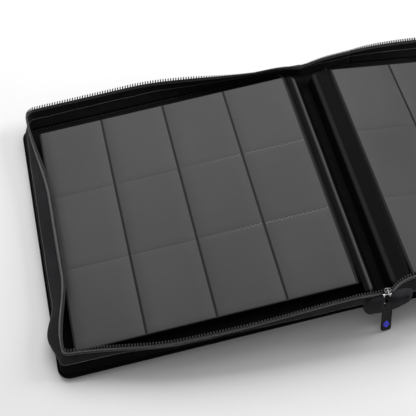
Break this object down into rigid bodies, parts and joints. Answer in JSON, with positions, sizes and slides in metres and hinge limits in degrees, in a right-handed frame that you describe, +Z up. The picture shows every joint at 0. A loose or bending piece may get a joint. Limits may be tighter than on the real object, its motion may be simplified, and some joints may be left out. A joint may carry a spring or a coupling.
{
  "type": "trading card binder",
  "caption": "Zip-around card binder lying open: two board-stiffened covers with gusset walls, side-loading pocket pages, slider and pull tab.",
  "frame": {"origin": "on the floor below the middle of the open binder's box, under the spine", "axes": "+X along the open spread from the front cover to the back cover, +Y along the spine away from the zip slider, +Z up"},
  "size_m": [0.6718, 0.3569, 0.0555],
  "materials": {
    "cover_leather": "black fine-grain synthetic leather, satin",
    "gusset_fabric": "black woven gusset fabric, matt",
    "lining_fabric": "black smooth lining, matt",
    "stiff_board": "grey board, hidden",
    "page_core": "black polypropylene sheet, matt",
    "pocket_film": "frosted clear film over the black sheet, reads dark grey",
    "page_margin": "black polypropylene margin, satin",
    "zip_tape": "black woven zip tape",
    "zip_teeth": "black nylon coil, slightly glossy",
    "slider_metal": "bright plated metal",
    "pull_rubber": "black moulded rubber with a blue mark"
  },
  "bodies": {
    "spine": {"spine_skin": "cover_leather", "spine_board": "stiff_board", "spine_lining": "lining_fabric", "front_hinge_strip": "cover_leather", "back_hinge_strip": "cover_leather", "front_binding": "page_margin", "back_binding": "page_margin", "near_front_wing": "gusset_fabric", "near_back_wing": "gusset_fabric", "far_front_wing": "gusset_fabric", "far_back_wing": "gusset_fabric", "near_spine_gusset": "gusset_fabric", "far_spine_gusset": "gusset_fabric"},
    "front_cover": {"front_cover_skin": "cover_leather", "front_cover_board": "stiff_board", "front_cover_lining": "lining_fabric", "front_gusset": "gusset_fabric", "front_zip_tape": "zip_tape", "front_zip_chain": "zip_teeth"},
    "back_cover": {"back_cover_skin": "cover_leather", "back_cover_board": "stiff_board", "back_cover_lining": "lining_fabric", "back_gusset": "gusset_fabric", "back_zip_tape": "zip_tape", "back_zip_chain": "zip_teeth"},
    "page_01_leaf": {"page_01": "page_core"},
    "page_02_leaf": {"page_02": "page_core"},
    "page_03_leaf": {"page_03": "page_core"},
    "page_04_leaf": {"page_04": "page_core"},
    "page_05_leaf": {"page_05": "page_core"},
    "page_06_leaf": {"page_06": "page_core"},
    "page_07_leaf": {"page_07": "page_core"},
    "page_08_leaf": {"page_08": "page_core"},
    "page_09_leaf": {"page_09": "page_core"},
    "page_10_leaf": {"page_10": "page_core", "page_10_pockets_1": "pocket_film", "page_10_pockets_2": "pocket_film", "page_10_pockets_3": "pocket_film", "page_10_pockets_4": "pocket_film"},
    "page_20_leaf": {"page_20": "page_core"},
    "page_19_leaf": {"page_19": "page_core"},
    "page_18_leaf": {"page_18": "page_core"},
    "page_17_leaf": {"page_17": "page_core"},
    "page_16_leaf": {"page_16": "page_core"},
    "page_15_leaf": {"page_15": "page_core"},
    "page_14_leaf": {"page_14": "page_core"},
    "page_13_leaf": {"page_13": "page_core"},
    "page_12_leaf": {"page_12": "page_core"},
    "page_11_leaf": {"page_11": "page_core", "page_11_pockets_1": "pocket_film", "page_11_pockets_2": "pocket_film", "page_11_pockets_3": "pocket_film", "page_11_pockets_4": "pocket_film"},
    "slider": {"zip_slider": "slider_metal"},
    "bail": {"pull_bail": "slider_metal"},
    "tab": {"pull_tab": "pull_rubber"}
  },
  "joints": [
    {"name": "front_cover_hinge", "type": "hinge", "parent": "spine", "child": "front_cover", "pos_m": [-0.024, 0, 0.03302], "axis": [0, 1, 0], "range_deg": [0, 95.65], "deforming": ["front_hinge_strip", "front_binding", "near_front_wing", "far_front_wing", "near_spine_gusset", "far_spine_gusset"]},
    {"name": "back_cover_hinge", "type": "hinge", "parent": "spine", "child": "back_cover", "pos_m": [0.024, 0, 0.03302], "axis": [0, -1, 0], "range_deg": [0, 95.65], "deforming": ["back_hinge_strip", "back_binding", "near_back_wing", "far_back_wing", "near_spine_gusset", "far_spine_gusset"]},
    {"name": "page_01_turn", "type": "hinge", "parent": "front_cover", "child": "page_01_leaf", "pos_m": [0, 0, 0.04866], "axis": [0, -1, 0], "range_deg": [-179.9, 0]},
    {"name": "page_02_turn", "type": "hinge", "parent": "page_01_leaf", "child": "page_02_leaf", "pos_m": [0, 0, 0.04866], "axis": [0, -1, 0], "range_deg": [-179.9, 0]},
    {"name": "page_03_turn", "type": "hinge", "parent": "page_02_leaf", "child": "page_03_leaf", "pos_m": [0, 0, 0.04866], "axis": [0, -1, 0], "range_deg": [-179.9, 0]},
    {"name": "page_04_turn", "type": "hinge", "parent": "page_03_leaf", "child": "page_04_leaf", "pos_m": [0, 0, 0.04866], "axis": [0, -1, 0], "range_deg": [-179.9, 0]},
    {"name": "page_05_turn", "type": "hinge", "parent": "page_04_leaf", "child": "page_05_leaf", "pos_m": [0, 0, 0.04866], "axis": [0, -1, 0], "range_deg": [-179.9, 0]},
    {"name": "page_06_turn", "type": "hinge", "parent": "page_05_leaf", "child": "page_06_leaf", "pos_m": [0, 0, 0.04866], "axis": [0, -1, 0], "range_deg": [-179.9, 0]},
    {"name": "page_07_turn", "type": "hinge", "parent": "page_06_leaf", "child": "page_07_leaf", "pos_m": [0, 0, 0.04866], "axis": [0, -1, 0], "range_deg": [-179.9, 0]},
    {"name": "page_08_turn", "type": "hinge", "parent": "page_07_leaf", "child": "page_08_leaf", "pos_m": [0, 0, 0.04866], "axis": [0, -1, 0], "range_deg": [-179.9, 0]},
    {"name": "page_09_turn", "type": "hinge", "parent": "page_08_leaf", "child": "page_09_leaf", "pos_m": [0, 0, 0.04866], "axis": [0, -1, 0], "range_deg": [-179.9, 0]},
    {"name": "page_10_turn", "type": "hinge", "parent": "page_09_leaf", "child": "page_10_leaf", "pos_m": [0, 0, 0.04866], "axis": [0, -1, 0], "range_deg": [-179.9, 0]},
    {"name": "page_20_turn", "type": "hinge", "parent": "back_cover", "child": "page_20_leaf", "pos_m": [0, 0, 0.04866], "axis": [0, 1, 0], "range_deg": [-179.9, 0]},
    {"name": "page_19_turn", "type": "hinge", "parent": "page_20_leaf", "child": "page_19_leaf", "pos_m": [0, 0, 0.04866], "axis": [0, 1, 0], "range_deg": [-179.9, 0]},
    {"name": "page_18_turn", "type": "hinge", "parent": "page_19_leaf", "child": "page_18_leaf", "pos_m": [0, 0, 0.04866], "axis": [0, 1, 0], "range_deg": [-179.9, 0]},
    {"name": "page_17_turn", "type": "hinge", "parent": "page_18_leaf", "child": "page_17_leaf", "pos_m": [0, 0, 0.04866], "axis": [0, 1, 0], "range_deg": [-179.9, 0]},
    {"name": "page_16_turn", "type": "hinge", "parent": "page_17_leaf", "child": "page_16_leaf", "pos_m": [0, 0, 0.04866], "axis": [0, 1, 0], "range_deg": [-179.9, 0]},
    {"name": "page_15_turn", "type": "hinge", "parent": "page_16_leaf", "child": "page_15_leaf", "pos_m": [0, 0, 0.04866], "axis": [0, 1, 0], "range_deg": [-179.9, 0]},
    {"name": "page_14_turn", "type": "hinge", "parent": "page_15_leaf", "child": "page_14_leaf", "pos_m": [0, 0, 0.04866], "axis": [0, 1, 0], "range_deg": [-179.9, 0]},
    {"name": "page_13_turn", "type": "hinge", "parent": "page_14_leaf", "child": "page_13_leaf", "pos_m": [0, 0, 0.04866], "axis": [0, 1, 0], "range_deg": [-179.9, 0]},
    {"name": "page_12_turn", "type": "hinge", "parent": "page_13_leaf", "child": "page_12_leaf", "pos_m": [0, 0, 0.04866], "axis": [0, 1, 0], "range_deg": [-179.9, 0]},
    {"name": "page_11_turn", "type": "hinge", "parent": "page_12_leaf", "child": "page_11_leaf", "pos_m": [0, 0, 0.04866], "axis": [0, 1, 0], "range_deg": [-179.9, 0]},
    {"name": "zip_slide", "type": "slide", "parent": "spine", "child": "slider", "axis": [0, 0, 1], "range_m": [0, 0.012]},
    {"name": "pull_swing", "type": "hinge", "parent": "slider", "child": "bail", "pos_m": [-0.005, -0.1663, 0.0502], "axis": [-1, 0, 0], "range_deg": [0, 120]},
    {"name": "tab_swing", "type": "hinge", "parent": "bail", "child": "tab", "pos_m": [-0.005, -0.1692, 0.03856], "axis": [-1, 0, 0], "range_deg": [0, 50]}
  ]
}
